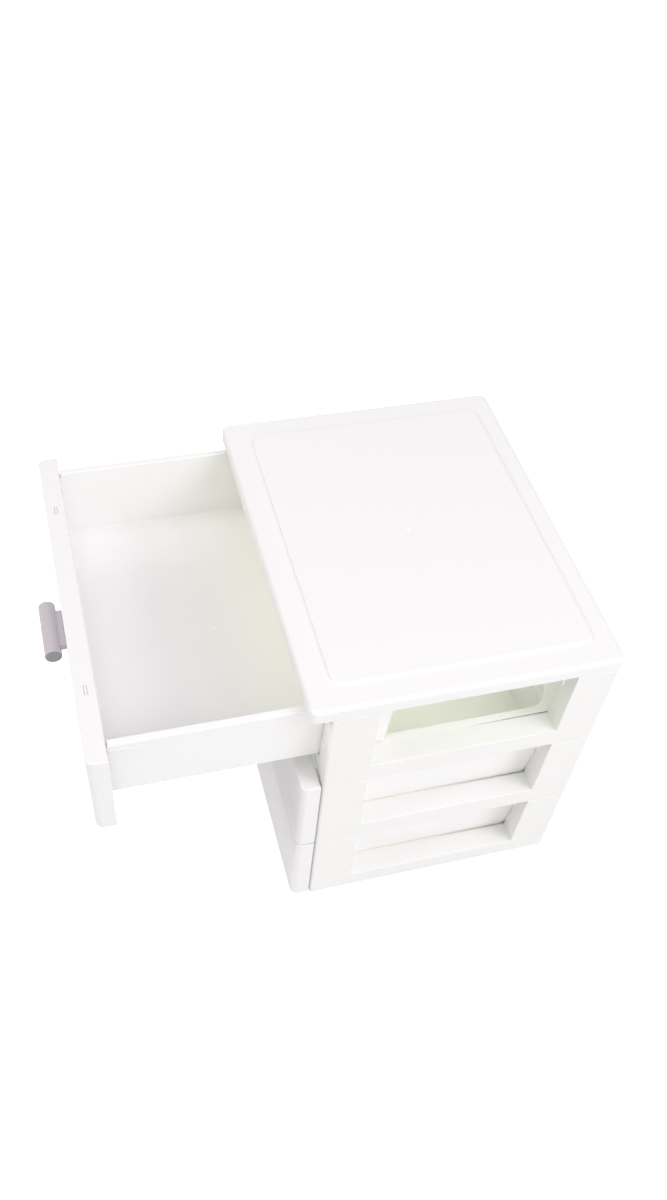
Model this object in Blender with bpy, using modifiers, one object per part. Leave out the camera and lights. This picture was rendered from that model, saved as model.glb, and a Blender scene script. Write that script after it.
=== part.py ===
"""Miniature chest of three drawers for a desk: a stack of moulded plastic tiers.

Three equal tier frames stand on each other and carry one top cover. Each frame is an open ring
floor with four corner posts, a rear wall and a window in each side. Each drawer is a moulded tub,
a hollow-backed front that snaps onto the tub by two tongues, and a bar handle plugged into the
front. The top drawer is drawn most of the way out, and the other two are shut.

Metres, +Z up, +X to the right of someone facing the drawers, and the drawers open towards -Y.
The origin is under the middle of the whole object, on the surface that it stands on.
"""

import math

import bmesh
import bpy
from mathutils import Matrix, Vector

MM = 0.001

# Whole chest
BODY_WIDTH = 139.0 * MM
BODY_DEPTH = 100.0 * MM
TIER_PITCH = 39.9 * MM
TIER_NAMES = ("bottom", "middle", "top")
SEAT_GAP = 0.2 * MM

# Limits for picking edges and for shading
SAME_PLACE = 0.001 * MM
UPRIGHT_SHARE = 0.9
SMOOTH_ANGLE = 0.6

# Tier frame: ring floor, posts, windows and rear wall
POST_THICKNESS = 8.6 * MM
FRONT_POST_DEPTH = 16.4 * MM
REAR_POST_DEPTH = 15.5 * MM
WALL_DRAFT = 2.7 * MM
WINDOW_DRAFT = 0.5 * MM
LEDGE_HEIGHT = 8.6 * MM
LIP_DROP = 0.8 * MM
LIP_WIDTH = 3.7 * MM
SILL_DROP = 1.7 * MM
SILL_DEPTH = 8.0 * MM
REAR_LIP_WIDTH = 9.5 * MM
OPENING_CORNER = 8.5 * MM
REAR_WALL = 2.5 * MM
POST_CORNER = 1.0 * MM

# Stacking pegs on the posts, and the sockets under the next tier and under the cover
PEG_WIDTH = 3.0 * MM
PEG_HEIGHT = 2.0 * MM
PEG_END_MARGIN = 3.0 * MM
PEG_CLEARANCE = 0.3 * MM

# Top cover
COVER_SKIRT = 5.7 * MM
COVER_FRONT_OVERHANG = 7.2 * MM
COVER_REAR_OVERHANG = 1.2 * MM
COVER_CORNER = 2.6 * MM
COVER_FILLET = 1.4 * MM
COVER_WALL = 2.4 * MM
PLATEAU_RISE = 0.8 * MM
PLATEAU_MARGIN = 9.3 * MM
PLATEAU_REAR_MARGIN = 7.8 * MM
PLATEAU_CORNER = 4.0 * MM
PLATEAU_FILLET = 0.7 * MM
COVER_GATE_RADIUS = 1.4 * MM
GATE_DEPTH = 0.3 * MM

# Drawer tub
TUB_LIFT = 0.3 * MM
SIDE_CLEARANCE = 0.3 * MM
HEADROOM = 0.9 * MM
REAR_CLEARANCE = 1.8 * MM
TUB_WALL = 2.2 * MM
TUB_FLOOR = 2.3 * MM
TUB_FOOT_CLEARANCE = 0.5 * MM
TUB_REAR_DRAFT = 1.0 * MM
TUB_CORNER = 2.6 * MM
TUB_INNER_CORNER = 1.5 * MM
TUB_FOOT_RADIUS = 0.6 * MM
RIM_HEIGHT = 1.6 * MM
RIM_OVERHANG = 0.3 * MM
RIB_LENGTH = 12.0 * MM
RIB_HEIGHT = 0.9 * MM
RIB_DROP = 1.6 * MM
TUB_GATE_RADIUS = 1.2 * MM
GATE_RISE = 0.35 * MM

# Drawer front
FRONT_THICKNESS = 7.0 * MM
FRONT_SIDE_MARGIN = 0.3 * MM
FRONT_BOTTOM_MARGIN = 0.95 * MM
FRONT_TOP_MARGIN = 0.25 * MM
FRONT_POST_GAP = 0.6 * MM
FRONT_WALL = 2.0 * MM
FRONT_CORNER = 2.6 * MM
FRONT_EDGE_RADIUS = 0.5 * MM
TONGUE_SPACING = 82.0 * MM
TONGUE_WIDTH = 3.7 * MM
TONGUE_THICKNESS = 0.9 * MM
TONGUE_CLEARANCE = 0.15 * MM
TONGUE_FRONT_GAP = 1.15 * MM
TONGUE_SUNK = 0.3 * MM
TONGUE_ROOT = 6.0 * MM
LINTEL_CLEARANCE = 0.3 * MM

# Handle
BAR_DIAMETER = 5.9 * MM
BAR_LENGTH = 23.4 * MM
BAR_CHAMFER = 0.3 * MM
BAR_STANDOFF = 2.1 * MM
BAR_HEIGHT = 21.1 * MM
NECK_WIDTH = 16.0 * MM
NECK_THICKNESS = 3.0 * MM
TENON_WIDTH = 10.0 * MM
TENON_THICKNESS = 2.0 * MM
TENON_LENGTH = 2.4 * MM
TENON_CLEARANCE = 0.3 * MM

# How far each drawer is drawn out, from the bottom one up
DRAWN_OUT = (0.0, 0.0, 69.8 * MM)

# Sizes that follow from the ones above
HALF_WIDTH = BODY_WIDTH / 2
TIER_HEIGHT = TIER_PITCH - SEAT_GAP
INNER_HALF_LOW = HALF_WIDTH - POST_THICKNESS
INNER_HALF_HIGH = INNER_HALF_LOW + WALL_DRAFT
LIP_TOP = LEDGE_HEIGHT - LIP_DROP
SILL_TOP = LEDGE_HEIGHT - SILL_DROP
REAR_INSIDE = BODY_DEPTH - REAR_WALL
OPENING_HALF = INNER_HALF_LOW - LIP_WIDTH
OPENING_REAR = REAR_INSIDE - REAR_LIP_WIDTH
CLOSED_Y = -FRONT_POST_GAP
RIM_TOP = TIER_PITCH - HEADROOM
RIM_BOTTOM = RIM_TOP - RIM_HEIGHT
TUB_BOTTOM = LIP_TOP + TUB_LIFT
FLOOR_TOP = TUB_BOTTOM + TUB_FLOOR
TUB_REAR = REAR_INSIDE - REAR_CLEARANCE - CLOSED_Y
FRONT_TOP = TIER_PITCH - FRONT_TOP_MARGIN
FRONT_HALF = HALF_WIDTH - FRONT_SIDE_MARGIN
TONGUE_FRONT = -FRONT_THICKNESS + FRONT_WALL + TONGUE_FRONT_GAP
TONGUE_BACK = TONGUE_FRONT + TONGUE_THICKNESS
BAR_Y = -FRONT_THICKNESS - BAR_STANDOFF - BAR_DIAMETER / 2
BAR_Z = FRONT_BOTTOM_MARGIN + BAR_HEIGHT
STACK_TOP = TIER_PITCH * len(TIER_NAMES)
THROUGH = 4.0 * MM

# The origin lies half way between the foremost handle and the cover's rear edge
FOREMOST = CLOSED_Y - max(DRAWN_OUT) + BAR_Y - BAR_DIAMETER / 2
REARMOST = BODY_DEPTH + COVER_REAR_OVERHANG
MIDDLE_Y = (FOREMOST + REARMOST) / 2

WHITE = (0.90, 0.90, 0.91, 1.0)
MAUVE_GREY = (0.44, 0.39, 0.44, 1.0)


def inner_half(height):
    """Half the clear width between a frame's walls at a height above the frame's foot."""
    share = (height - LEDGE_HEIGHT) / (TIER_HEIGHT - LEDGE_HEIGHT)
    return INNER_HALF_LOW + WALL_DRAFT * share


def plastic(name, colour, roughness):
    """A moulded plastic material."""
    material = bpy.data.materials.new(name)
    material.use_nodes = True
    shader = material.node_tree.nodes["Principled BSDF"]
    shader.inputs["Base Color"].default_value = colour
    shader.inputs["Roughness"].default_value = roughness
    shader.inputs["Metallic"].default_value = 0.0
    material.diffuse_color = colour
    return material


def block(low, high, flare=(0.0, 0.0, 0.0), overrun=0.0):
    """A box between two corners, with drafted sides.

    flare is how much wider it is at the high corner's level, at each side, the front and the
    rear. overrun carries it further up on the same slopes.
    """
    low, high = Vector(low), Vector(high)
    slope = 1.0 + overrun / (high.z - low.z)
    side, front, rear = (widening * slope for widening in flare)
    shape = bmesh.new()
    bmesh.ops.create_cube(shape, size=1.0)
    for vert in shape.verts:
        right, back, upper = (value > 0 for value in vert.co)
        vert.co = (high.x if right else low.x, high.y if back else low.y, high.z if upper else low.z)
        if upper:
            vert.co += Vector((side if right else -side, rear if back else -front, overrun))
    return shape


def rounded(shape, wanted, radius, segments):
    """Round the edges of a shape whose middle and direction satisfy wanted(middle, direction)."""
    edges = []
    for edge in shape.edges:
        start, end = (vert.co for vert in edge.verts)
        if wanted((start + end) / 2, (end - start).normalized()):
            edges.append(edge)
    bmesh.ops.bevel(shape, geom=edges, offset=radius, offset_type="OFFSET", segments=segments,
                    profile=0.5, affect="EDGES", clamp_overlap=True)
    return shape


def upright(middle, direction):
    """True for an edge that stands up, drafted or not."""
    return abs(direction.z) > UPRIGHT_SHARE


def cylinder(radius, length, centre, axis, segments):
    """A closed cylinder about a centre, along X or Z."""
    shape = bmesh.new()
    turn = Matrix.Rotation(math.pi / 2, 4, "Y") if axis == "X" else Matrix.Identity(4)
    bmesh.ops.create_cone(shape, cap_ends=True, segments=segments, radius1=radius, radius2=radius,
                          depth=length, matrix=Matrix.Translation(centre) @ turn)
    return shape


class Workshop:
    """The collections that the pieces and their cutters go into."""

    def __init__(self):
        self.pieces = self.collection("miniature_chest_of_drawers")
        self.cutters = self.collection("cutters")

    @staticmethod
    def collection(name):
        """A new collection in the scene."""
        made = bpy.data.collections.new(name)
        bpy.context.scene.collection.children.link(made)
        return made

    def empty(self, name, parent, location):
        """An empty that places the pieces parented to it."""
        made = bpy.data.objects.new(name, None)
        made.parent = parent
        made.location = location
        self.pieces.objects.link(made)
        return made

    def piece(self, name, shape, parent, material):
        """A visible piece made from a shape."""
        made = self._link(name, shape, parent, self.pieces)
        made.data.materials.append(material)
        return made

    def tool(self, owner, label, shape, operation):
        """A cutter or an added lump, which works on its owner by a Boolean."""
        made = self._link(owner.name + "." + label, shape, owner.parent, self.cutters)
        made.hide_render = True
        made.display_type = "WIRE"
        modifier = owner.modifiers.new(label, "BOOLEAN")
        modifier.operation = operation
        modifier.solver = "EXACT"
        modifier.object = made
        return made

    def cut(self, owner, label, shape):
        """Cut a shape out of its owner."""
        return self.tool(owner, label, shape, "DIFFERENCE")

    def join(self, owner, label, shape):
        """Add a shape to its owner."""
        return self.tool(owner, label, shape, "UNION")

    @staticmethod
    def round_by_weight(owner, radius, segments):
        """Round the weighted edges of a piece: a weight of one gives the whole radius."""
        modifier = owner.modifiers.new("rounding", "BEVEL")
        modifier.limit_method = "WEIGHT"
        modifier.offset_type = "OFFSET"
        modifier.width = radius
        modifier.segments = segments

    @staticmethod
    def _link(name, shape, parent, collection):
        mesh = bpy.data.meshes.new(name)
        bmesh.ops.recalc_face_normals(shape, faces=shape.faces)
        shape.to_mesh(mesh)
        shape.free()
        mesh.shade_smooth()
        mesh.set_sharp_from_angle(angle=SMOOTH_ANGLE)
        made = bpy.data.objects.new(name, mesh)
        made.parent = parent
        collection.objects.link(made)
        return made


def post_spans():
    """The front and rear limits of the front posts and of the rear posts."""
    return ((0.0, FRONT_POST_DEPTH), (BODY_DEPTH - REAR_POST_DEPTH, BODY_DEPTH))


def peg_block(side, span, foot, height, growth):
    """A peg, or a socket for one that is larger by growth all round, on a post."""
    centre = side * (HALF_WIDTH - (HALF_WIDTH - INNER_HALF_HIGH) / 2)
    half = PEG_WIDTH / 2 + growth
    low = (centre - half, span[0] + PEG_END_MARGIN - growth, foot)
    high = (centre + half, span[1] - PEG_END_MARGIN + growth, foot + height)
    return block(low, high)


def each_post():
    """A label, a side and a span for each of the four posts."""
    for side, hand in ((-1, "left"), (1, "right")):
        for span, place in zip(post_spans(), ("front", "rear")):
            yield f"{place}_{hand}", side, span


def make_tier_frame(shop, name, parent, material):
    """A ring floor with posts, side windows, rear wall, pegs on top and sockets below."""
    body = block((-HALF_WIDTH, 0, 0), (HALF_WIDTH, BODY_DEPTH, TIER_HEIGHT))
    rounded(body, upright, POST_CORNER, 3)
    frame = shop.piece(name, body, parent, material)

    bay = block((-INNER_HALF_LOW, -THROUGH, LEDGE_HEIGHT), (INNER_HALF_LOW, REAR_INSIDE, TIER_HEIGHT),
                (WALL_DRAFT, 0.0, 0.0), THROUGH)
    shop.cut(frame, "bay", bay)

    window = block((-HALF_WIDTH - THROUGH, FRONT_POST_DEPTH, LEDGE_HEIGHT),
                   (HALF_WIDTH + THROUGH, BODY_DEPTH - REAR_POST_DEPTH, TIER_HEIGHT),
                   (0.0, WINDOW_DRAFT, WINDOW_DRAFT), THROUGH)
    shop.cut(frame, "windows", window)

    lip = block((-INNER_HALF_LOW, SILL_DEPTH, LIP_TOP), (INNER_HALF_LOW, REAR_INSIDE, TIER_HEIGHT))
    shop.cut(frame, "lip", lip)
    sill = block((-INNER_HALF_LOW, -THROUGH, SILL_TOP),
                 (INNER_HALF_LOW, SILL_DEPTH + SEAT_GAP, TIER_HEIGHT))
    shop.cut(frame, "sill", sill)

    opening = block((-OPENING_HALF, SILL_DEPTH, -THROUGH), (OPENING_HALF, OPENING_REAR, TIER_HEIGHT))
    rounded(opening, upright, OPENING_CORNER, 8)
    shop.cut(frame, "floor_opening", opening)

    for label, side, span in each_post():
        socket = peg_block(side, span, -THROUGH, THROUGH + PEG_HEIGHT + PEG_CLEARANCE, PEG_CLEARANCE)
        shop.cut(frame, "socket_" + label, socket)
        peg = peg_block(side, span, TIER_HEIGHT - THROUGH, THROUGH + PEG_HEIGHT, 0.0)
        shop.join(frame, "peg_" + label, peg)
    return frame


def make_cover(shop, parent, material):
    """The top cover: a skirted lid, hollow below, with a raised plateau and a gate mark."""
    front, rear = -COVER_FRONT_OVERHANG, BODY_DEPTH + COVER_REAR_OVERHANG
    slab = block((-HALF_WIDTH, front, 0), (HALF_WIDTH, rear, COVER_SKIRT))
    rounded(slab, upright, COVER_CORNER, 6)
    rounded(slab, lambda middle, way: middle.z > COVER_SKIRT - SAME_PLACE, COVER_FILLET, 5)
    cover = shop.piece("top_cover", slab, parent, material)

    reach = HALF_WIDTH - PLATEAU_MARGIN
    plateau = block((-reach, front + PLATEAU_MARGIN, COVER_SKIRT - COVER_WALL / 2),
                    (reach, rear - PLATEAU_REAR_MARGIN, COVER_SKIRT + PLATEAU_RISE))
    rounded(plateau, upright, PLATEAU_CORNER, 7)
    top = COVER_SKIRT + PLATEAU_RISE
    rounded(plateau, lambda middle, way: middle.z > top - SAME_PLACE, PLATEAU_FILLET, 3)
    shop.join(cover, "plateau", plateau)

    ceiling = COVER_SKIRT - COVER_WALL
    hollow = block((-OPENING_HALF, front + COVER_WALL, -THROUGH), (OPENING_HALF, rear - COVER_WALL, ceiling))
    shop.cut(cover, "hollow", hollow)
    reach = HALF_WIDTH - COVER_WALL
    between = block((-reach, FRONT_POST_DEPTH + COVER_WALL, -THROUGH),
                    (reach, BODY_DEPTH - REAR_POST_DEPTH - COVER_WALL, ceiling - SEAT_GAP))
    shop.cut(cover, "side_hollow", between)
    for label, side, span in each_post():
        socket = peg_block(side, span, -THROUGH, THROUGH + PEG_HEIGHT + PEG_CLEARANCE, PEG_CLEARANCE)
        shop.cut(cover, "socket_" + label, socket)

    centre = Vector((0.0, (front + rear) / 2, top))
    shop.cut(cover, "gate_dimple", cylinder(COVER_GATE_RADIUS, 2 * GATE_DEPTH, centre, "Z", 24))
    sunk = centre - Vector((0.0, 0.0, GATE_DEPTH + SEAT_GAP / 2))
    shop.join(cover, "gate_pip", cylinder(COVER_GATE_RADIUS / 2, 2 * GATE_DEPTH, sunk, "Z", 16))
    return cover


def make_tub(shop, name, parent, material):
    """A drawer tub with drafted walls, a rolled rim, side ribs and the tongues for its front."""
    rim_half = inner_half(RIM_BOTTOM) - SIDE_CLEARANCE
    top_half = rim_half - RIM_OVERHANG
    foot_half = INNER_HALF_LOW - TUB_FOOT_CLEARANCE
    draft = top_half - foot_half
    foot_rear = TUB_REAR - RIM_OVERHANG - TUB_REAR_DRAFT
    wall_front = -TUB_WALL

    outer = block((-foot_half, wall_front, TUB_BOTTOM), (foot_half, foot_rear, RIM_TOP),
                  (draft, 0.0, TUB_REAR_DRAFT))
    rounded(outer, lambda middle, way: upright(middle, way) and middle.y > 0, TUB_CORNER, 7)
    rounded(outer, lambda middle, way: middle.z < TUB_BOTTOM + SAME_PLACE and middle.y > wall_front / 2,
            TUB_FOOT_RADIUS, 3)
    tub = shop.piece(name, outer, parent, material)

    rim = block((-rim_half, FRONT_POST_GAP / 2, RIM_BOTTOM), (rim_half, TUB_REAR, RIM_TOP))
    rounded(rim, lambda middle, way: upright(middle, way) and middle.y > TUB_WALL,
            TUB_CORNER + RIM_OVERHANG, 7)
    shop.join(tub, "rim", rim)

    for side, hand in ((-1, "left"), (1, "right")):
        reach = sorted((side * (foot_half - TUB_WALL / 2), side * (rim_half - SEAT_GAP)))
        rib_top = RIM_BOTTOM - RIB_DROP
        rib = block((reach[0], FRONT_POST_GAP / 2, rib_top - RIB_HEIGHT),
                    (reach[1], RIB_LENGTH, rib_top))
        shop.join(tub, "rib_" + hand, rib)

    share = TUB_FLOOR / (RIM_TOP - TUB_BOTTOM)
    floor_half = foot_half - TUB_WALL + draft * share
    floor_rear = foot_rear - TUB_WALL + TUB_REAR_DRAFT * share
    flare = (draft * (1.0 - share), 0.0, TUB_REAR_DRAFT * (1.0 - share))
    cavity = block((-floor_half, 0.0, FLOOR_TOP), (floor_half, floor_rear, RIM_TOP), flare, THROUGH)
    rounded(cavity, lambda middle, way: upright(middle, way) and middle.y > TUB_WALL,
            TUB_INNER_CORNER, 5)
    shop.cut(tub, "cavity", cavity)

    lintel = FRONT_TOP - FRONT_WALL - LINTEL_CLEARANCE
    notch = block((-HALF_WIDTH, wall_front - THROUGH, lintel),
                  (HALF_WIDTH, FRONT_POST_GAP / 2, RIM_TOP + THROUGH))
    shop.cut(tub, "front_notch", notch)

    for side, hand in ((-1, "left"), (1, "right")):
        middle = side * TONGUE_SPACING / 2
        half = TONGUE_WIDTH / 2
        root = block((middle - half, TONGUE_FRONT, lintel - TONGUE_ROOT),
                     (middle + half, wall_front + TUB_WALL / 2, lintel))
        shop.join(tub, "tongue_root_" + hand, root)
        tongue = block((middle - half, TONGUE_FRONT, lintel - TONGUE_ROOT / 2),
                       (middle + half, TONGUE_BACK, FRONT_TOP - TONGUE_SUNK))
        shop.join(tub, "tongue_" + hand, tongue)

    centre = Vector((0.0, floor_rear / 2, FLOOR_TOP))
    pip = cylinder(TUB_GATE_RADIUS, 2 * GATE_RISE, centre, "Z", 20)
    shop.join(tub, "gate_pip", pip)
    return tub


def make_front(shop, name, parent, material):
    """A hollow-backed drawer front with slots for the tub's tongues and for the handle."""
    plate = block((-FRONT_HALF, -FRONT_THICKNESS, FRONT_BOTTOM_MARGIN), (FRONT_HALF, 0.0, FRONT_TOP))
    weight = plate.edges.layers.float.new("bevel_weight_edge")
    for edge in plate.edges:
        start, end = (vert.co for vert in edge.verts)
        if max(start.y, end.y) < -FRONT_THICKNESS / 2:
            standing = upright(start, (end - start).normalized())
            edge[weight] = 1.0 if standing else FRONT_EDGE_RADIUS / FRONT_CORNER
    front = shop.piece(name, plate, parent, material)
    shop.round_by_weight(front, FRONT_CORNER, 5)

    reach = FRONT_HALF - FRONT_WALL
    hollow = block((-reach, -FRONT_THICKNESS + FRONT_WALL, FRONT_BOTTOM_MARGIN + FRONT_WALL),
                   (reach, THROUGH, FRONT_TOP - FRONT_WALL))
    shop.cut(front, "hollow", hollow)

    for side, hand in ((-1, "left"), (1, "right")):
        middle = side * TONGUE_SPACING / 2
        half = TONGUE_WIDTH / 2 + TONGUE_CLEARANCE
        slot = block((middle - half, TONGUE_FRONT - TONGUE_CLEARANCE, FRONT_TOP - 2 * FRONT_WALL),
                     (middle + half, TONGUE_BACK + TONGUE_CLEARANCE, FRONT_TOP + THROUGH))
        shop.cut(front, "tongue_slot_" + hand, slot)

    half = TENON_WIDTH / 2 + TENON_CLEARANCE
    rise = TENON_THICKNESS / 2 + TENON_CLEARANCE
    mortise = block((-half, -FRONT_THICKNESS - THROUGH, BAR_Z - rise),
                    (half, -FRONT_THICKNESS + FRONT_WALL + SEAT_GAP, BAR_Z + rise))
    shop.cut(front, "mortise", mortise)
    return front


def make_handle(shop, name, parent, material):
    """A round bar on a short neck, with a tenon that plugs into the drawer front."""
    bar = cylinder(BAR_DIAMETER / 2, BAR_LENGTH, Vector((0, BAR_Y, BAR_Z)), "X", 40)
    rounded(bar, lambda middle, way: abs(middle.x) > BAR_LENGTH / 2 - SAME_PLACE, BAR_CHAMFER, 2)
    handle = shop.piece(name, bar, parent, material)
    seat = -FRONT_THICKNESS - SEAT_GAP
    neck = block((-NECK_WIDTH / 2, BAR_Y, BAR_Z - NECK_THICKNESS / 2),
                 (NECK_WIDTH / 2, seat, BAR_Z + NECK_THICKNESS / 2))
    shop.join(handle, "neck", neck)
    tenon = block((-TENON_WIDTH / 2, seat - SEAT_GAP, BAR_Z - TENON_THICKNESS / 2),
                  (TENON_WIDTH / 2, seat + TENON_LENGTH, BAR_Z + TENON_THICKNESS / 2))
    shop.join(handle, "tenon", tenon)
    return handle


def main():
    """Build the whole chest."""
    for item in list(bpy.data.objects):
        bpy.data.objects.remove(item, do_unlink=True)
    shop = Workshop()
    chest = shop.empty("chest", None, (0.0, -MIDDLE_Y, 0.0))
    for level, name in enumerate(TIER_NAMES):
        tier = shop.empty("tier_" + name, chest, (0.0, 0.0, level * TIER_PITCH))
        make_tier_frame(shop, "tier_frame_" + name, tier, plastic("frame_white_" + name, WHITE, 0.4))
        slide = shop.empty("slide_" + name, tier, (0.0, CLOSED_Y - DRAWN_OUT[level], 0.0))
        make_tub(shop, "drawer_box_" + name, slide, plastic("tub_white_" + name, WHITE, 0.3))
        make_front(shop, "drawer_front_" + name, slide, plastic("front_white_" + name, WHITE, 0.4))
        make_handle(shop, "drawer_handle_" + name, slide, plastic("handle_grey_" + name, MAUVE_GREY, 0.4))
    lid = shop.empty("lid", chest, (0.0, 0.0, STACK_TOP))
    make_cover(shop, lid, plastic("cover_white", WHITE, 0.35))


main()
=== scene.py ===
"""Looks of a miniature chest of drawers for a desk, in moulded white plastic.

Three tier frames stand on each other under a lid. Each tier holds a glossy tub with a front
clipped onto it, and each front has a mauve-grey bar handle. The classes below are the chest's
own pieces: each holds its sizes, builds its shell and dresses it.

Metres, +Z up, +X to the right of someone who faces the drawers, which open towards -Y.
"""

import logging
import math
from collections.abc import Callable, Sequence
from dataclasses import dataclass, replace
from enum import Enum
from typing import ClassVar

import bmesh
import bpy
from mathutils import Euler, Matrix, Vector


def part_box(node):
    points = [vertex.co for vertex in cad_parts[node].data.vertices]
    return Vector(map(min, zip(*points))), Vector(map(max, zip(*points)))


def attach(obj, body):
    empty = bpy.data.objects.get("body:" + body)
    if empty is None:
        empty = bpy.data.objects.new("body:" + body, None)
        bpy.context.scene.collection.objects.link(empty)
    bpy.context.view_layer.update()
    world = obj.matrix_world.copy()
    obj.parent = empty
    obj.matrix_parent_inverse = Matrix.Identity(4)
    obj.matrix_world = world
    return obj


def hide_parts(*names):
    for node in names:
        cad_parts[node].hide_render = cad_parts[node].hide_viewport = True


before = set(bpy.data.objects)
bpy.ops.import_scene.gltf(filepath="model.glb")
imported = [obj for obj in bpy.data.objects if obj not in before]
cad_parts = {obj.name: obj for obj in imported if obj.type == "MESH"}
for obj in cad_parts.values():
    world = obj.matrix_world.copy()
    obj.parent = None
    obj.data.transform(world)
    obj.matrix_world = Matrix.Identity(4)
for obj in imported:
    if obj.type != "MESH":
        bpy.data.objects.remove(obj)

MM = 0.001
CORNER_STEPS = 7
EDGE_STEPS = 3
SHARP_ANGLE = math.radians(32)
FLAT_ANGLE = math.radians(0.2)
WELD_DISTANCE = 0.002 * MM
EVEN_SHADING = 50
SEAM_GAP = 0.2 * MM
SQUARE_CORNER = 0.05 * MM
DIMPLE_PROFILE = ((0.55, -1.0), (0.8, -0.9), (0.95, -0.5), (1.0, 0.0), (1.02, 1.0))
PIP_PROFILE = ((1.0, -2.0), (1.0, -0.6), (0.8, -0.25), (0.4, -0.08))
FLOW_BEND = 0.008
FLOW_BEND_SCALE = 60.0
SCUFF_TURNS = (0.6, 2.1)
SCUFF_DETAIL = 4.0
SCUFF_FINENESS = 90.0
SCUFF_GLOSS = 0.15
DRIFT_SCALE = 18.0
DRIFT_DETAIL = 2.0
BUMP_STRENGTH = 0.5

log = logging.getLogger("chest")


class Level(Enum):
    """The tiers, from the desk up."""

    BOTTOM = "bottom"
    MIDDLE = "middle"
    TOP = "top"


class Side(Enum):
    """The two sides of the chest, as signs of X."""

    LEFT = -1
    RIGHT = 1


class Operation(Enum):
    """What a tool does to the solid that it works on."""

    CUT = "DIFFERENCE"
    JOIN = "UNION"


# ---------------------------------------------------------------- outlines and lofts


@dataclass(frozen=True)
class Outline:
    """A rounded rectangle across the way that a loft grows."""

    left: float
    right: float
    near: float
    far: float
    near_radius: float
    far_radius: float

    def inset(self, amount: float) -> "Outline":
        """The outline drawn in on every side, with its corners as round as they were."""
        return replace(self, left=self.left + amount, right=self.right - amount,
                       near=self.near + amount, far=self.far - amount)

    def points(self, height: float) -> list[Vector]:
        """The outline's points at a height, in order round it.

        Args:
            height: how far along the loft the points lie.

        Returns:
            The same number of points for every outline.
        """
        corners = ((self.right, self.near, 1, 1, self.near_radius, -90.0),
                   (self.right, self.far, 1, -1, self.far_radius, 0.0),
                   (self.left, self.far, -1, -1, self.far_radius, 90.0),
                   (self.left, self.near, -1, 1, self.near_radius, 180.0))
        made = []
        for across, along, outward, inward, radius, start in corners:
            for step in range(CORNER_STEPS + 1):
                turn = math.radians(start + 90.0 * step / CORNER_STEPS)
                made.append(Vector((across - outward * radius + radius * math.cos(turn),
                                    along + inward * radius + radius * math.sin(turn), height)))
        return made


Ring = tuple[Outline, float]
Wall = Callable[[float], Outline]


def quarter_round(wall: Wall, end: float, radius: float, starts: bool, steps: int,
                  sign: float) -> list[Ring]:
    """Rings of a quarter round at one end of a wall.

    Args:
        wall: the wall's outline at a height.
        end: the height of the wall's end, drawn in by the radius.
        radius: the radius of the round.
        starts: whether the round starts the wall or ends it.
        steps: how many faces it has.
        sign: -1 where the round is drawn out instead.

    Returns:
        The rings in the order of their heights.
    """
    rings = []
    for step in range(steps + 1):
        turn = math.pi / 2 * step / steps
        by_cosine, by_sine = radius * (1.0 - math.cos(turn)), radius * (1.0 - math.sin(turn))
        height, drawn = (end + by_cosine, by_sine) if starts else (end - by_sine, by_cosine)
        rings.append((wall(height).inset(sign * drawn), height))
    return rings


def rounded_foot(wall: Wall, foot: float, radius: float, steps: int = EDGE_STEPS,
                 sign: float = 1.0) -> list[Ring]:
    """Rings of a quarter round that starts a wall."""
    return quarter_round(wall, foot, radius, True, steps, sign)


def rounded_top(wall: Wall, top: float, radius: float, steps: int = EDGE_STEPS,
                sign: float = 1.0) -> list[Ring]:
    """Rings of a quarter round that ends a wall."""
    return quarter_round(wall, top, radius, False, steps, sign)


def stitch(shape: bmesh.types.BMesh, rows: Sequence[Sequence[bmesh.types.BMVert]]) -> None:
    """Join rows of points into a closed skin, with a flat face at each end.

    Args:
        shape: the shape that holds the points.
        rows: the rows, each a closed loop with the same number of points.
    """
    for below, above in zip(rows, rows[1:]):
        for index, corner in enumerate(below):
            after = (index + 1) % len(below)
            shape.faces.new((corner, below[after], above[after], above[index]))
    shape.faces.new(list(reversed(rows[0])))
    shape.faces.new(rows[-1])


def loft(rings: Sequence[Ring]) -> bmesh.types.BMesh:
    """A closed shape through rounded rectangles.

    Args:
        rings: the rectangles and their heights, from one end to the other.

    Returns:
        The loft's shape, with a flat face at each end.
    """
    shape = bmesh.new()
    rows = [[shape.verts.new(point) for point in outline.points(height)] for outline, height in rings]
    stitch(shape, rows)
    bmesh.ops.recalc_face_normals(shape, faces=shape.faces)
    return shape


def straight(outline: Outline) -> Wall:
    """A wall without draft."""
    return lambda height: outline


def slab(low: Sequence[float], high: Sequence[float], edge: float = 0.0) -> bmesh.types.BMesh:
    """A block between two corners, whose edges are rounded.

    Args:
        low: its lowest corner.
        high: its highest corner.
        edge: the radius of its edges, or nothing for sharp ones.

    Returns:
        The block's shape.
    """
    shape = bmesh.new()
    bmesh.ops.create_cube(shape, size=1.0)
    for vert in shape.verts:
        vert.co = Vector([high[axis] if vert.co[axis] > 0 else low[axis] for axis in range(3)])
    if edge:
        bmesh.ops.bevel(shape, geom=shape.edges[:], offset=edge, offset_type="OFFSET",
                        segments=EDGE_STEPS, profile=0.5, affect="EDGES", clamp_overlap=True)
    return shape


def turned(profile: Sequence[tuple[float, float]], place: Matrix, steps: int) -> bmesh.types.BMesh:
    """A closed shape turned about an axis.

    Args:
        profile: (radius, height) pairs from one end to the other.
        place: where the axis, its own Z, goes.
        steps: how many faces go round.

    Returns:
        The turned shape, with a flat face at each end.
    """
    shape = bmesh.new()
    rows = []
    for radius, height in profile:
        turns = [2.0 * math.pi * step / steps for step in range(steps)]
        rows.append([shape.verts.new((radius * math.cos(turn), radius * math.sin(turn), height))
                     for turn in turns])
    stitch(shape, rows)
    shape.transform(place)
    bmesh.ops.recalc_face_normals(shape, faces=shape.faces)
    return shape


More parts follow.
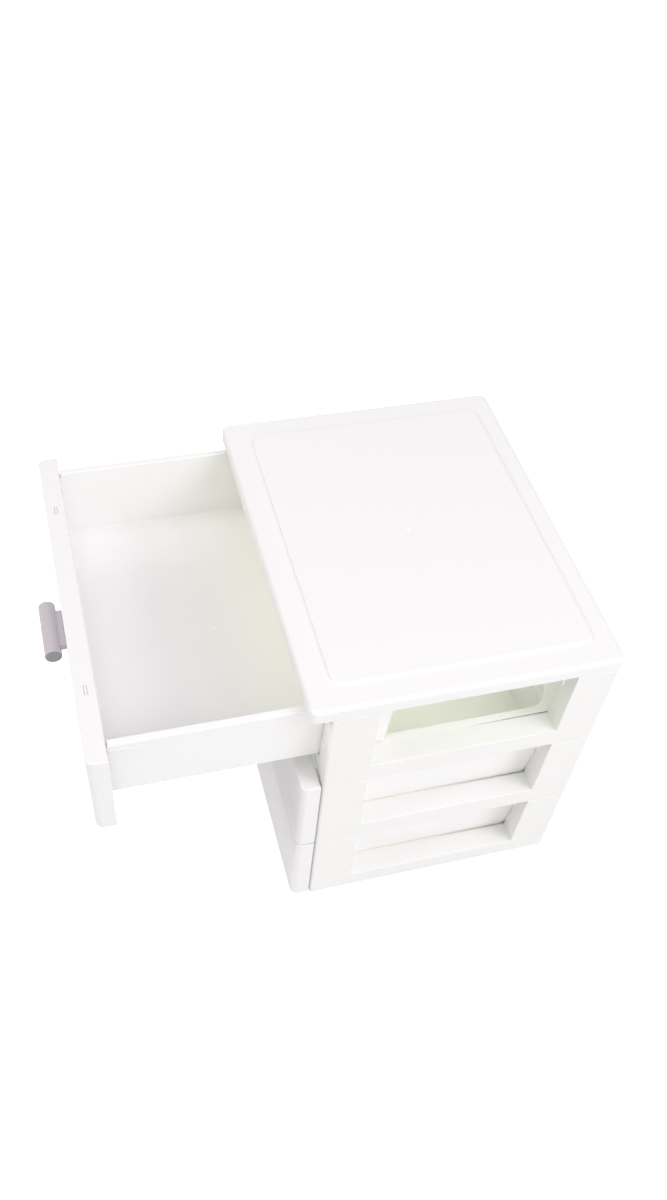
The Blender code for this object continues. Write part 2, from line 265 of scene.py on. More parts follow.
def put_in_scene(name: str, shape: bmesh.types.BMesh) -> bpy.types.Object:
    """Put a shape into the scene as an object.

    Args:
        name: the object's name.
        shape: its shape, which is freed.

    Returns:
        The object.
    """
    mesh = bpy.data.meshes.new(name)
    shape.to_mesh(mesh)
    shape.free()
    made = bpy.data.objects.new(name, mesh)
    bpy.context.scene.collection.objects.link(made)
    return made


class Solid:
    """One closed piece in the making."""

    def __init__(self, name: str, shape: bmesh.types.BMesh) -> None:
        """Start from a shape."""
        self.name = name
        self.object = put_in_scene(name, shape)
        self.tools: list[bpy.types.Object] = []

    def work(self, operation: Operation, shape: bmesh.types.BMesh) -> "Solid":
        """Cut a shape out of this solid, or join one to it.

        Args:
            operation: which of the two.
            shape: the tool's shape.

        Returns:
            This solid.
        """
        tool = put_in_scene(f"{self.name}.tool", shape)
        modifier = self.object.modifiers.new("work", "BOOLEAN")
        modifier.operation = operation.value
        modifier.solver = "EXACT"
        modifier.object = tool
        self.tools.append(tool)
        return self

    def cut(self, shape: bmesh.types.BMesh) -> "Solid":
        """Cut a shape out of this solid."""
        return self.work(Operation.CUT, shape)

    def join(self, shape: bmesh.types.BMesh) -> "Solid":
        """Join a shape to this solid."""
        return self.work(Operation.JOIN, shape)

    def settle(self) -> "Solid":
        """Make the cuts and joins final, and clean up the faces.

        Returns:
            This solid.
        """
        graph = bpy.context.evaluated_depsgraph_get()
        graph.update()
        mesh = bpy.data.meshes.new_from_object(self.object.evaluated_get(graph))
        self.object.modifiers.clear()
        self.object.data = mesh
        for tool in self.tools:
            bpy.data.objects.remove(tool, do_unlink=True)
        self.tools = []
        shape = bmesh.new()
        shape.from_mesh(mesh)
        bmesh.ops.remove_doubles(shape, verts=shape.verts, dist=WELD_DISTANCE)
        bmesh.ops.dissolve_limit(shape, angle_limit=FLAT_ANGLE, verts=shape.verts,
                                 edges=shape.edges)
        shape.to_mesh(mesh)
        shape.free()
        return self

    def soften(self, radius: float, wanted: Callable[[Vector, Vector], bool] | None = None) -> "Solid":
        """Round the sharp edges.

        Args:
            radius: the radius of the rounds.
            wanted: picks an edge by its two ends; without it every sharp edge is rounded.

        Returns:
            This solid.
        """
        shape = bmesh.new()
        shape.from_mesh(self.object.data)
        edges = [edge for edge in shape.edges
                 if edge.is_manifold and edge.calc_face_angle() > SHARP_ANGLE
                 and (wanted is None or wanted(edge.verts[0].co, edge.verts[1].co))]
        bmesh.ops.bevel(shape, geom=edges, offset=radius, offset_type="OFFSET",
                        segments=EDGE_STEPS, profile=0.5, affect="EDGES", clamp_overlap=False)
        bmesh.ops.remove_doubles(shape, verts=shape.verts, dist=WELD_DISTANCE)
        shape.to_mesh(self.object.data)
        shape.free()
        return self

    def finish(self, material: bpy.types.Material, body: str, node: str) -> bpy.types.Object:
        """Shade and dress the piece, and let it stand for its node.

        Args:
            material: what it is made of.
            body: the body that the piece rides on.
            node: the node that the piece stands for.

        Returns:
            The finished object.
        """
        mesh = self.object.data
        mesh.materials.clear()
        mesh.materials.append(material)
        mesh.shade_smooth()
        mesh.set_sharp_from_angle(angle=SHARP_ANGLE)
        even = self.object.modifiers.new("even_shading", "WEIGHTED_NORMAL")
        even.keep_sharp = True
        even.weight = EVEN_SHADING
        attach(self.object, body)
        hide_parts(node)
        log.info("%s: %d faces on %s", self.name, len(mesh.polygons), body)
        return self.object


# ---------------------------------------------------------------- finishes


class Sockets:
    """Short ways to make a node group or to fill a material."""

    def __init__(self, tree: bpy.types.NodeTree) -> None:
        """Work in one tree."""
        self.tree = tree

    def node(self, kind: str, **settings: object) -> bpy.types.Node:
        """A new node.

        Args:
            kind: the node's type.
            **settings: the node's own properties.

        Returns:
            The node.
        """
        made = self.tree.nodes.new(kind)
        for name, value in settings.items():
            setattr(made, name, value)
        return made

    def link(self, source: bpy.types.NodeSocket, target: bpy.types.NodeSocket) -> None:
        """A link between two sockets."""
        self.tree.links.new(source, target)

    def maths(self, operation: str, first: object, second: object) -> bpy.types.NodeSocket:
        """A sum on two numbers or sockets.

        Args:
            operation: which sum.
            first: the first number or socket.
            second: the second one.

        Returns:
            The socket of the result.
        """
        made = self.node("ShaderNodeMath", operation=operation)
        for index, value in enumerate((first, second)):
            if isinstance(value, bpy.types.NodeSocket):
                self.link(value, made.inputs[index])
            else:
                made.inputs[index].default_value = value
        return made.outputs[0]


def new_group(name: str, inputs: Sequence[tuple[str, float]], outputs: Sequence[str]) -> tuple:
    """A new shader node group of numbers.

    Args:
        name: the group's name.
        inputs: (name, default) pairs.
        outputs: the names of its outputs.

    Returns:
        The group's tree, its input node, its output node and a Sockets for it.
    """
    tree = bpy.data.node_groups.new(name, "ShaderNodeTree")
    for label, value in inputs:
        socket = tree.interface.new_socket(name=label, in_out="INPUT", socket_type="NodeSocketFloat")
        socket.default_value = value
    for label in outputs:
        tree.interface.new_socket(name=label, in_out="OUTPUT", socket_type="NodeSocketFloat")
    work = Sockets(tree)
    return tree, work.node("NodeGroupInput"), work.node("NodeGroupOutput"), work


def moulded_skin_group() -> bpy.types.NodeTree:
    """The skin of a moulding: fine grain, a slow waviness, and patches of more or less gloss.

    Returns:
        The node group.
    """
    tree, given, result, work = new_group(
        "moulded_skin",
        (("Grain Scale", 3500.0), ("Grain", 0.3), ("Wave Scale", 90.0), ("Wave", 1.0),
         ("Gloss Scale", 35.0), ("Roughness", 0.3), ("Gloss Change", 0.06)),
        ("Height", "Roughness"))
    place = work.node("ShaderNodeTexCoord").outputs["Object"]
    layers = []
    for scale, detail in (("Grain Scale", 2.0), ("Wave Scale", 1.0), ("Gloss Scale", 3.0)):
        noise = work.node("ShaderNodeTexNoise")
        work.link(place, noise.inputs["Vector"])
        work.link(given.outputs[scale], noise.inputs["Scale"])
        noise.inputs["Detail"].default_value = detail
        layers.append(noise.outputs["Fac"])
    grain = work.maths("MULTIPLY", layers[0], given.outputs["Grain"])
    wave = work.maths("MULTIPLY", layers[1], given.outputs["Wave"])
    work.link(work.maths("ADD", grain, wave), result.inputs["Height"])
    patch = work.maths("SUBTRACT", layers[2], 0.5)
    change = work.maths("MULTIPLY", patch, given.outputs["Gloss Change"])
    work.link(work.maths("ADD", given.outputs["Roughness"], change), result.inputs["Roughness"])
    return tree


def flow_marks_group() -> bpy.types.NodeTree:
    """Faint rings in the gloss round a gate, where the melt came in.

    Returns:
        The node group.
    """
    tree, given, result, work = new_group(
        "flow_marks", (("Gate X", 0.0), ("Gate Y", 0.0), ("Spacing", 0.006), ("Reach", 0.05)), ("Mark",))
    place = work.node("ShaderNodeTexCoord").outputs["Object"]
    gate = work.node("ShaderNodeCombineXYZ")
    work.link(given.outputs["Gate X"], gate.inputs["X"])
    work.link(given.outputs["Gate Y"], gate.inputs["Y"])
    flat = work.node("ShaderNodeVectorMath", operation="MULTIPLY")
    work.link(place, flat.inputs[0])
    flat.inputs[1].default_value = (1.0, 1.0, 0.0)
    away = work.node("ShaderNodeVectorMath", operation="DISTANCE")
    work.link(flat.outputs[0], away.inputs[0])
    work.link(gate.outputs[0], away.inputs[1])
    noise = work.node("ShaderNodeTexNoise")
    work.link(place, noise.inputs["Vector"])
    noise.inputs["Scale"].default_value = FLOW_BEND_SCALE
    bend = work.maths("MULTIPLY", noise.outputs["Fac"], FLOW_BEND)
    bent = work.maths("ADD", away.outputs["Value"], bend)
    turns = work.maths("DIVIDE", bent, given.outputs["Spacing"])
    rings = work.maths("SINE", work.maths("MULTIPLY", turns, 2.0 * math.pi), 0.0)
    faded = work.maths("DIVIDE", away.outputs["Value"], given.outputs["Reach"])
    strength = work.maths("MAXIMUM", work.maths("SUBTRACT", 1.0, faded), 0.0)
    work.link(work.maths("MULTIPLY", rings, strength), result.inputs["Mark"])
    return tree


def handling_group() -> bpy.types.NodeTree:
    """Hair-fine scuffs from handling, as a mask.

    Returns:
        The node group.
    """
    tree, given, result, work = new_group("handling", (("Scale", 60.0), ("Stretch", 12.0), ("Amount", 0.5)),
                                          ("Scuff",))
    place = work.node("ShaderNodeTexCoord").outputs["Object"]
    scuffs = []
    for turn in SCUFF_TURNS:
        spread = work.node("ShaderNodeCombineXYZ")
        work.link(given.outputs["Stretch"], spread.inputs["X"])
        spread.inputs["Y"].default_value = 1.0
        spread.inputs["Z"].default_value = 1.0
        turned_place = work.node("ShaderNodeVectorRotate", rotation_type="Z_AXIS")
        work.link(place, turned_place.inputs["Vector"])
        turned_place.inputs["Angle"].default_value = turn
        stretched = work.node("ShaderNodeVectorMath", operation="MULTIPLY")
        work.link(turned_place.outputs[0], stretched.inputs[0])
        work.link(spread.outputs[0], stretched.inputs[1])
        noise = work.node("ShaderNodeTexNoise")
        work.link(stretched.outputs[0], noise.inputs["Vector"])
        work.link(given.outputs["Scale"], noise.inputs["Scale"])
        noise.inputs["Detail"].default_value = SCUFF_DETAIL
        near_half = work.maths("ABSOLUTE", work.maths("SUBTRACT", noise.outputs["Fac"], 0.5), 0.0)
        line = work.maths("SUBTRACT", 1.0, work.maths("MULTIPLY", near_half, SCUFF_FINENESS))
        scuffs.append(work.maths("MAXIMUM", line, 0.0))
    both = work.maths("MAXIMUM", scuffs[0], scuffs[1])
    work.link(work.maths("MULTIPLY", both, given.outputs["Amount"]), result.inputs["Scuff"])
    return tree


class Effects:
    """The node groups that the finishes share, each built once."""

    def __init__(self) -> None:
        """Build the groups."""
        self.skin = moulded_skin_group()
        self.flow = flow_marks_group()
        self.handling = handling_group()
        self.painted_end_shade = painted_end_shade_group()

    @staticmethod
    def place(work: Sockets, group: bpy.types.NodeTree, **values: float) -> bpy.types.Node:
        """A group in a material.

        Args:
            work: the material's sockets.
            group: the shared group.
            **values: its values by input name, where _ stands for a space.

        Returns:
            The group's node.
        """
        made = work.node("ShaderNodeGroup", node_tree=group)
        for name, value in values.items():
            made.inputs[name.replace("_", " ")].default_value = value
        return made


def painted_end_shade_group() -> bpy.types.NodeTree:
    """A mask of a bar's two end faces along X, which the handle's finish darkens as painted shade.

    Returns:
        The node group.
    """
    tree, given, result, work = new_group("painted_end_shade", (("Half Length", 1.0),), ("Cut",))
    apart = work.node("ShaderNodeSeparateXYZ")
    work.link(work.node("ShaderNodeTexCoord").outputs["Object"], apart.inputs[0])
    away = work.maths("ABSOLUTE", apart.outputs["X"], 0.0)
    work.link(work.maths("GREATER_THAN", away, given.outputs["Half Length"]), result.inputs["Cut"])
    return tree


@dataclass(frozen=True)
class MouldedPlastic:
    """A finish of moulded plastic."""

    name: str
    colour: tuple[float, float, float]
    shaded: tuple[float, float, float]
    roughness: float
    gloss_change: float = 0.06
    coat: float = 0.0
    coat_roughness: float = 0.05
    specular: float = 0.5
    grain: float = 0.3
    wave: float = 1.0
    depth: float = 0.00002
    scuff: float = 0.0
    gate: tuple[float, float] = (0.0, 0.0)
    flow: float = 0.02
    # The last two fields paint a darker colour on a bar's end faces past a half length along X: painted
    # shade, not the plastic's own colour.
    painted_end_shade_beyond: float = 1.0
    painted_end_shade_colour: tuple[float, float, float] = (0.32, 0.32, 0.31)

    def material(self, effects: Effects) -> bpy.types.Material:
        """The finish as a material.

        Args:
            effects: the shared node groups.

        Returns:
            A procedural material.
        """
        made = bpy.data.materials.new(self.name)
        made.use_nodes = True
        work = Sockets(made.node_tree)
        shader = made.node_tree.nodes["Principled BSDF"]
        shader.inputs["Metallic"].default_value = 0.0
        shader.inputs["Specular IOR Level"].default_value = self.specular
        shader.inputs["Coat Weight"].default_value = self.coat
        shader.inputs["Coat Roughness"].default_value = self.coat_roughness
        skin = effects.place(work, effects.skin, Grain=self.grain, Wave=self.wave,
                             Roughness=self.roughness, Gloss_Change=self.gloss_change)
        flow = effects.place(work, effects.flow, Gate_X=self.gate[0], Gate_Y=self.gate[1])
        handling = effects.place(work, effects.handling, Amount=self.scuff)
        streaked = work.maths("MULTIPLY", flow.outputs["Mark"], self.flow)
        gloss = work.maths("ADD", skin.outputs["Roughness"], streaked)
        wear = work.maths("MULTIPLY", handling.outputs["Scuff"], SCUFF_GLOSS)
        worn = work.maths("ADD", gloss, wear)
        work.link(worn, shader.inputs["Roughness"])

        drift = work.node("ShaderNodeTexNoise")
        work.link(work.node("ShaderNodeTexCoord").outputs["Object"], drift.inputs["Vector"])
        drift.inputs["Scale"].default_value = DRIFT_SCALE
        drift.inputs["Detail"].default_value = DRIFT_DETAIL
        mix = work.node("ShaderNodeMix", data_type="RGBA")
        work.link(drift.outputs["Fac"], mix.inputs["Factor"])
        mix.inputs["A"].default_value = (*self.colour, 1.0)
        mix.inputs["B"].default_value = (*self.shaded, 1.0)
        # Painted shade: a dark colour mixed in on the bar's end faces.
        cut = work.node("ShaderNodeMix", data_type="RGBA")
        ends = effects.place(work, effects.painted_end_shade, Half_Length=self.painted_end_shade_beyond)
        work.link(ends.outputs["Cut"], cut.inputs["Factor"])
        work.link(mix.outputs["Result"], cut.inputs["A"])
        cut.inputs["B"].default_value = (*self.painted_end_shade_colour, 1.0)
        work.link(cut.outputs["Result"], shader.inputs["Base Color"])

        bump = work.node("ShaderNodeBump")
        bump.inputs["Strength"].default_value = BUMP_STRENGTH
        bump.inputs["Distance"].default_value = self.depth
        work.link(skin.outputs["Height"], bump.inputs["Height"])
        work.link(bump.outputs["Normal"], shader.inputs["Normal"])
        return made


# ---------------------------------------------------------------- the chest's pieces


@dataclass
class Lid:
    """The top cover: a skirted lid with a raised plateau, hollow below."""

    fillet: float = 1.4 * MM
    corner: float = 2.6 * MM
    foot_round: float = 0.35 * MM
    wall: float = 2.4 * MM
    plateau_margin: float = 9.3 * MM
    plateau_rear_margin: float = 7.8 * MM
    plateau_corner: float = 4.0 * MM
    plateau_rise: float = 0.8 * MM
    plateau_root: float = 0.3 * MM
    side_margin: float = 9.9 * MM
    hollow_corner: float = 2.0 * MM
    hollow_round: float = 0.6 * MM
    through: float = 5.0 * MM
    gate_radius: float = 1.4 * MM
    gate_depth: float = 0.3 * MM
    pip_share: float = 0.45
    dimple_steps: int = 32
    pip_steps: int = 24

    def build(self) -> Solid:
        """Build the lid's shell in the place of its node.

        Returns:
            The finished shell.
        """
        low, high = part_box("top_cover")
        border = high.z - self.plateau_rise
        outline = Outline(low.x, high.x, low.y, high.y, self.corner, self.corner)
        plateau = Outline(low.x + self.plateau_margin, high.x - self.plateau_margin,
                          low.y + self.plateau_margin, high.y - self.plateau_rear_margin,
                          self.plateau_corner, self.plateau_corner)
        rings = rounded_foot(straight(outline), low.z, self.foot_round)
        rings += rounded_top(straight(outline), border, self.fillet, steps=7)
        concave = rounded_foot(straight(plateau), border, self.plateau_root, steps=3, sign=-1.0)
        convex = rounded_top(straight(plateau), high.z, self.plateau_rise - self.plateau_root, steps=4)
        solid = Solid("lid_shell", loft(rings + concave + convex))

        ceiling = border - self.wall
        reach = high.x - self.wall - self.side_margin
        hollow = Outline(-reach, reach, low.y + self.wall, high.y - self.wall,
                         self.hollow_corner, self.hollow_corner)
        below = low.z - self.through
        solid.cut(loft([(hollow, below)] + rounded_top(straight(hollow), ceiling, self.hollow_round)))
        middle = Vector((0.0, (low.y + high.y) / 2, high.z))
        solid.cut(self.gate_shape(middle, self.gate_radius, DIMPLE_PROFILE, self.dimple_steps))
        pip_radius = self.gate_radius * self.pip_share
        solid.join(self.gate_shape(middle, pip_radius, PIP_PROFILE, self.pip_steps))
        return solid.settle()

    def gate_shape(self, middle: Vector, radius: float,
                   shares: Sequence[tuple[float, float]], steps: int) -> bmesh.types.BMesh:
        """The dimple round the gate mark, or the domed pip at the bottom of it.

        Args:
            middle: the middle of the mark on the plateau.
            radius: the radius that the profile is a share of.
            shares: the profile, as shares of the radius and of the dimple's depth.
            steps: how many faces go round.

        Returns:
            The turned shape.
        """
        profile = [(radius * across, self.gate_depth * along) for across, along in shares]
        return turned(profile, Matrix.Translation(middle), steps)

    def dress(self, effects: Effects, solid: Solid) -> None:
        """Give the lid its satin white."""
        plastic = MouldedPlastic("lid_plastic", (0.905, 0.904, 0.905), (0.896, 0.897, 0.897), 0.36,
                                 scuff=0.25, flow=0.015)
        solid.finish(plastic.material(effects), "cabinet", "top_cover")


@dataclass
class TierFrame:
    """One tier of the cabinet: ring floor, four posts, side windows and a rear wall."""

    level: Level
    post_thickness: float = 8.6 * MM
    front_post: float = 16.4 * MM
    rear_post: float = 15.5 * MM
    draft: float = 2.7 * MM
    window_draft: float = 0.5 * MM
    ledge: float = 8.6 * MM
    lip_drop: float = 0.8 * MM
    lip_width: float = 3.7 * MM
    sill_drop: float = 1.7 * MM
    sill_depth: float = 7.2 * MM
    opening_front: float = 8.0 * MM
    opening_rear: float = 12.0 * MM
    opening_corner: float = 8.5 * MM
    rear_wall: float = 2.5 * MM
    corner: float = 1.0 * MM
    edge: float = 0.35 * MM
    peg_height: float = 2.0 * MM
    through: float = 4.0 * MM

    @property
    def node(self) -> str:
        """The node that this tier stands for."""
        return f"tier_frame_{self.level.value}"

    def build(self) -> Solid:
        """Build the tier's shell in the place of its node.

        Returns:
            The finished shell.
        """
        low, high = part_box(self.node)
        top = high.z - self.peg_height
        inner = high.x - self.post_thickness
        outline = Outline(low.x, high.x, low.y, high.y, self.corner, self.corner)
        solid = Solid(f"tier_shell_{self.level.value}", loft([(outline, low.z), (outline, top)]))

        rear = high.y - self.rear_wall
        slope = self.draft / (top - low.z - self.ledge)
        floor = low.z + self.ledge
        over = top + self.through
        spread = slope * (over - floor)
        bay = Outline(-inner, inner, low.y - self.through, rear, SQUARE_CORNER, SQUARE_CORNER)
        wide = replace(bay, left=-inner - spread, right=inner + spread)
        solid.cut(loft([(bay, floor), (wide, over)]))

        widen = self.window_draft * (over - floor) / (top - floor)
        window = Outline(low.x - self.through, high.x + self.through, low.y + self.front_post,
                         high.y - self.rear_post, SQUARE_CORNER, SQUARE_CORNER)
        wider = replace(window, near=window.near - widen, far=window.far + widen)
        solid.cut(loft([(window, floor), (wider, over)]))

        lip = (-inner, low.y + self.sill_depth, floor - self.lip_drop)
        solid.cut(slab(lip, (inner, rear, over)))
        sill = (-inner, low.y - self.through, floor - self.sill_drop)
        solid.cut(slab(sill, (inner, low.y + self.sill_depth + SEAM_GAP, over)))
        reach = inner - self.lip_width
        opening = Outline(-reach, reach, low.y + self.opening_front, high.y - self.opening_rear,
                          self.opening_corner, self.opening_corner)
        solid.cut(loft([(opening, low.z - self.through), (opening, over)]))
        solid.settle()
        return solid.soften(self.edge)

    def dress(self, effects: Effects, solid: Solid) -> None:
        """Give the tier its satin white."""
        plastic = MouldedPlastic(f"tier_plastic_{self.level.value}", (0.900, 0.898, 0.890),
                                 (0.890, 0.892, 0.880), 0.38, scuff=0.15)
        solid.finish(plastic.material(effects), "cabinet", self.node)


@dataclass
class DrawerPiece:
    """A piece that rides on the drawer of one tier."""

    level: Level
    kind: ClassVar[str]

    @property
    def node(self) -> str:
        """The node that this piece stands for."""
        return f"{self.kind}_{self.level.value}"

    @property
    def body(self) -> str:
        """The body that it rides on."""
        return f"{self.level.value}_drawer"


@dataclass
class DrawerBox(DrawerPiece):
    """A drawer's glossy tub, with drafted walls and a rolled rim."""

    kind: ClassVar[str] = "drawer_box"
    wall: float = 2.2 * MM
    base: float = 2.3 * MM
    draft: float = 2.4 * MM
    rear_draft: float = 1.0 * MM
    rim_height: float = 1.6 * MM
    rim_overhang: float = 0.3 * MM
    corner: float = 2.6 * MM
    inner_corner: float = 1.5 * MM
    foot_round: float = 0.6 * MM
    floor_round: float = 0.9 * MM
    front_corner: float = 0.6 * MM
    rim_round: float = 0.35 * MM
    front_gap: float = 0.3 * MM
    front_lip: float = 2.25 * MM
    tongue_spacing: float = 82.0 * MM
    tongue_width: float = 3.7 * MM
    tongue_thickness: float = 0.9 * MM
    tongue_standoff: float = 0.75 * MM
    tongue_root: float = 6.0 * MM
    tongue_rise: float = 1.7 * MM
    rib_length: float = 12.0 * MM
    rib_height: float = 0.9 * MM
    rib_drop: float = 1.6 * MM
    rib_edge: float = 0.2 * MM
    rim_drop: float = 0.65 * MM
    lintel_clearance: float = 0.05 * MM
    root_sunk: float = 0.1 * MM
    tongue_sunk: float = 0.3 * MM
    gate_radius: float = 1.0 * MM
    gate_steps: int = 28

    def build(self) -> Solid:
        """Build the tub's shell in the place of its node.

        Returns:
            The finished shell.
        """
        low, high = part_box(self.node)
        panel_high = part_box(f"drawer_front_{self.level.value}")[1]
        inside_front = panel_high.y
        foot = low.z
        rim_top = panel_high.z - self.rim_drop
        rim_half, rim_rear = high.x, high.y
        rim_foot = rim_top - self.rim_height
        top_half = rim_half - self.rim_overhang
        top_rear = rim_rear - self.rim_overhang

        def outer(height: float) -> Outline:
            """The outside of the walls at a height."""
            share = (rim_top - height) / (rim_top - foot)
            half = top_half - self.draft * share
            return Outline(-half, half, inside_front - self.wall, top_rear - self.rear_draft * share,
                           self.front_corner, self.corner)

        def inner(height: float) -> Outline:
            """The inside of the walls at a height."""
            skin = outer(height)
            return Outline(skin.left + self.wall, skin.right - self.wall, inside_front,
                           skin.far - self.wall, self.front_corner, self.inner_corner)

        rim = Outline(-rim_half, rim_half, inside_front - self.wall - self.rim_overhang, rim_rear,
                      self.front_corner, self.corner + self.rim_overhang)
        rings = rounded_foot(outer, foot, self.foot_round)
        rings.append((outer(rim_foot), rim_foot))
        rings += rounded_foot(straight(rim), rim_foot, self.rim_round / 2)
        rings += rounded_top(straight(rim), rim_top, self.rim_round)
        rings += reversed(rounded_top(inner, rim_top, self.rim_round, sign=-1.0))
        rings += reversed(rounded_foot(inner, foot + self.base, self.floor_round))
        solid = Solid(f"tub_shell_{self.level.value}", loft(rings))

        lintel = panel_high.z - self.front_lip - self.lintel_clearance
        notch_low = (low.x - self.wall, low.y - self.wall, lintel)
        solid.cut(slab(notch_low, (high.x + self.wall, inside_front + self.front_gap, rim_top + self.wall)))
        for side in Side:
            self.add_tongue(solid, side, inside_front, lintel, panel_high.z)
            self.add_rib(solid, side, inside_front, rim_foot, rim_half)
        middle = Vector((0.0, (inside_front + inner(foot + self.base).far) / 2, foot + self.base))
        solid.join(self.gate_mark(middle))
        return solid.settle()

    def add_tongue(self, solid: Solid, side: Side, front: float, lintel: float, top: float) -> None:
        """Join one of the tongues that the front clips onto.

        Args:
            solid: the tub.
            side: which of the two tongues.
            front: where the tub's inside begins.
            lintel: the height of the front wall's top.
            top: the height of the drawer front's top.
        """
        middle = side.value * self.tongue_spacing / 2
        half = self.tongue_width / 2
        back = front - self.wall - self.tongue_standoff
        face = back - self.tongue_thickness
        root = (middle - half, face, lintel - self.tongue_root)
        solid.join(slab(root, (middle + half, front - self.wall / 2, lintel - self.root_sunk)))
        foot = (middle - half, face, lintel - self.tongue_root / 2)
        solid.join(slab(foot, (middle + half, back, top - self.tongue_sunk)))

    def add_rib(self, solid: Solid, side: Side, front: float, rim_foot: float, rim_half: float) -> None:
        """Join the short rib under the rim that steadies the drawer when it is nearly shut.

        Args:
            solid: the tub.
            side: which of the two walls.
            front: where the tub's inside begins.
            rim_foot: the height of the rim's lower edge.
            rim_half: half the width over the rim.
        """
        top = rim_foot - self.rib_drop
        reach = sorted((side.value * (rim_half - self.wall / 2), side.value * (rim_half - SEAM_GAP)))
        rib_low = (reach[0], front + self.front_gap, top - self.rib_height)
        solid.join(slab(rib_low, (reach[1], front + self.rib_length, top), edge=self.rib_edge))

    def gate_mark(self, middle: Vector) -> bmesh.types.BMesh:
        """The domed pip in the middle of the floor."""
        radius = self.gate_radius
        profile = ((radius * 1.3, -0.5 * MM), (radius * 1.3, 0.04 * MM), (radius, 0.1 * MM),
                   (radius * 0.85, 0.22 * MM), (radius * 0.6, 0.3 * MM), (radius * 0.3, 0.34 * MM))
        return turned(profile, Matrix.Translation(middle), self.gate_steps)

    def dress(self, effects: Effects, solid: Solid) -> None:
        """Give the tub its polished white."""
        low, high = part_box(self.node)
        plastic = MouldedPlastic(f"tub_plastic_{self.level.value}", (0.945, 0.940, 0.944),
                                 (0.922, 0.920, 0.916), 0.20, gloss_change=0.04, coat=0.35,
                                 coat_roughness=0.04, grain=0.08, gate=(0.0, (low.y + high.y) / 2))
        solid.finish(plastic.material(effects), self.body, self.node)


@dataclass
class DrawerFront(DrawerPiece):
    """A drawer's front: a rounded plate, hollow behind, slotted for the tongues and the handle."""

    kind: ClassVar[str] = "drawer_front"
    wall: float = 2.0 * MM
    front_corner: float = 2.6 * MM
    back_corner: float = 0.3 * MM
    edge: float = 0.45 * MM
    slot_width: float = 3.9 * MM
    slot_depth: float = 1.1 * MM
    slot_spacing: float = 82.0 * MM
    slot_back: float = 2.85 * MM
    mortise: tuple[float, float] = (10.6 * MM, 2.6 * MM)

    def build(self) -> Solid:
        """Build the front's shell in the place of its node.

        Returns:
            The finished shell.
        """
        low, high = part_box(self.node)
        outline = straight(Outline(low.x, high.x, low.y, high.y, self.front_corner, self.back_corner))
        rings = rounded_foot(outline, low.z, self.edge) + rounded_top(outline, high.z, self.edge)
        solid = Solid(f"panel_shell_{self.level.value}", loft(rings))

        hollow_low = (low.x + self.wall, low.y + self.wall, low.z + self.wall)
        hollow_high = (high.x - self.wall, high.y + self.wall, high.z - self.wall)
        solid.cut(slab(hollow_low, hollow_high, edge=self.edge))

        for side in Side:
            middle = side.value * self.slot_spacing / 2
            half = self.slot_width / 2
            back = high.y - self.slot_back
            slot_low = (middle - half, back - self.slot_depth, high.z - 2 * self.wall)
            solid.cut(slab(slot_low, (middle + half, back, high.z + self.wall)))
        handle_low, handle_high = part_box(f"drawer_handle_{self.level.value}")
        across, rise = self.mortise[0] / 2, self.mortise[1] / 2
        height = (handle_low.z + handle_high.z) / 2
        solid.cut(slab((-across, low.y - self.wall, height - rise),
                       (across, low.y + self.wall + SEAM_GAP, height + rise)))
        return solid.settle()

    def dress(self, effects: Effects, solid: Solid) -> None:
        """Give the front its satin white."""
        plastic = MouldedPlastic(f"panel_plastic_{self.level.value}", (0.902, 0.893, 0.900),
                                 (0.892, 0.888, 0.892), 0.34, scuff=0.2)
        solid.finish(plastic.material(effects), self.body, self.node)


@dataclass
class BarHandle(DrawerPiece):
    """A round bar on a short neck, plugged into its drawer front."""

    kind: ClassVar[str] = "drawer_handle"
    diameter: float = 5.9 * MM
    end_round: float = 0.45 * MM
    end_margin: float = 0.5 * MM
    end_sunk: float = 0.08 * MM
    end_steps: int = 4
    bar_steps: int = 56
    neck_width: float = 16.0 * MM
    neck_thickness: float = 3.0 * MM
    neck_edge: float = 0.4 * MM
    tenon: tuple[float, float, float] = (10.0 * MM, 2.4 * MM, 2.0 * MM)

    def build(self) -> Solid:
        """Build the handle in the place of its node.

        Returns:
            The finished handle.
        """
        low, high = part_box(self.node)
        panel_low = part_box(f"drawer_front_{self.level.value}")[0]
        radius = self.diameter / 2
        half = high.x
        middle = Vector((0.0, low.y + radius, (low.z + high.z) / 2))
        profile = [(radius - self.end_round - self.end_margin, half - self.end_sunk)]
        for step in range(self.end_steps + 1):
            turn = math.pi / 2 * step / self.end_steps
            profile.append((radius - self.end_round * (1 - math.sin(turn)),
                            half - self.end_round * (1 - math.cos(turn))))
        whole = profile + [(across, -along) for across, along in reversed(profile)]
        place = Matrix.Translation(middle) @ Matrix.Rotation(math.pi / 2, 4, "Y")
        solid = Solid(f"bar_handle_{self.level.value}", turned(whole, place, self.bar_steps))

        seat = panel_low.y - SEAM_GAP
        rise = self.neck_thickness / 2
        solid.join(slab((-self.neck_width / 2, middle.y, middle.z - rise),
                        (self.neck_width / 2, seat, middle.z + rise), edge=self.neck_edge))
        wide, long, thick = self.tenon
        solid.join(slab((-wide / 2, seat - SEAM_GAP, middle.z - thick / 2),
                        (wide / 2, seat + long, middle.z + thick / 2)))
        return solid.settle()

    def dress(self, effects: Effects, solid: Solid) -> None:
        """Give the handle its mauve grey, with painted shade on its end faces."""
        # The end faces get a painted shade, darker than the rest of the bar.
        plastic = MouldedPlastic(f"handle_plastic_{self.level.value}", (0.690, 0.640, 0.695),
                                 (0.580, 0.532, 0.575), 0.42, grain=0.6, scuff=0.3,
                                 painted_end_shade_beyond=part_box(self.node)[1].x - self.end_round / 2)
        solid.finish(plastic.material(effects), self.body, self.node)


# ---------------------------------------------------------------- studio


